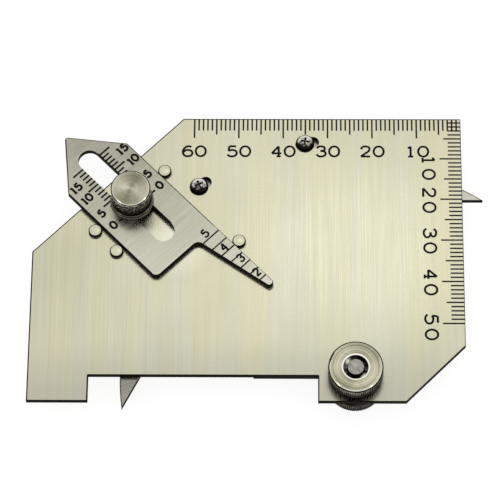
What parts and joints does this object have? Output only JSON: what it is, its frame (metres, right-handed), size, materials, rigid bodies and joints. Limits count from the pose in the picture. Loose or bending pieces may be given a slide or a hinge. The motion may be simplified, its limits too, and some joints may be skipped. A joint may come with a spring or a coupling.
{
  "type": "weld gauge",
  "caption": "Flat stainless weld gauge: notched plate with edge scales, slotted slider with stepped wedge and thumb knob, and a pointed sector swinging behind on a knurled pivot.",
  "frame": {"origin": "on the sector's pivot axis, at the outer face of the rear knurled head, the face that the gauge lies on", "axes": "+X along the plate's long edge towards the edge with the 50 mm scale, +Y up the plate towards the 60 mm scale, +Z out of the front face"},
  "size_m": [0.1002, 0.0694, 0.0147],
  "materials": {
    "plate_steel": "brushed along the plate's height",
    "slider_steel": "brushed",
    "turned_steel": "turned and knurled",
    "bright_screw": "bright nickel"
  },
  "bodies": {
    "frame": {"main_plate": "plate_steel", "index_plate": "slider_steel", "index_screw_left": "bright_screw", "index_screw_right": "bright_screw", "clamp_stud": "turned_steel", "clamp_washer": "turned_steel", "pivot_washer": "turned_steel", "pivot_bush": "turned_steel"},
    "slider": {"height_slider": "slider_steel"},
    "sector": {"sector_rule": "slider_steel"},
    "knob": {"thumb_knob": "turned_steel"},
    "rear_screw": {"pivot_screw": "turned_steel"},
    "front_nut": {"pivot_nut": "turned_steel"}
  },
  "joints": [
    {"name": "slider_travel", "type": "slide", "parent": "frame", "child": "slider", "axis": [0.7009, -0.7133, 0], "range_m": [-0.0106, 0.0143]},
    {"name": "sector_swing", "type": "hinge", "parent": "frame", "child": "sector", "pos_m": [0, 0, 0.00427], "axis": [0, 0, 1], "range_deg": [-65, 50]},
    {"name": "knob_turn", "type": "hinge", "parent": "frame", "child": "knob", "pos_m": [-0.0495, 0.0407, 0.0089], "axis": [0, 0, 1], "range_deg": [0, 360]},
    {"name": "rear_screw_turn", "type": "hinge", "parent": "frame", "child": "rear_screw", "pos_m": [0, 0, 0], "axis": [0, 0, 1], "range_deg": [-360, 0]},
    {"name": "nut_turn", "type": "hinge", "parent": "rear_screw", "child": "front_nut", "pos_m": [0, 0, 0.0073], "axis": [0, 0, 1], "range_deg": [0, 360]}
  ]
}
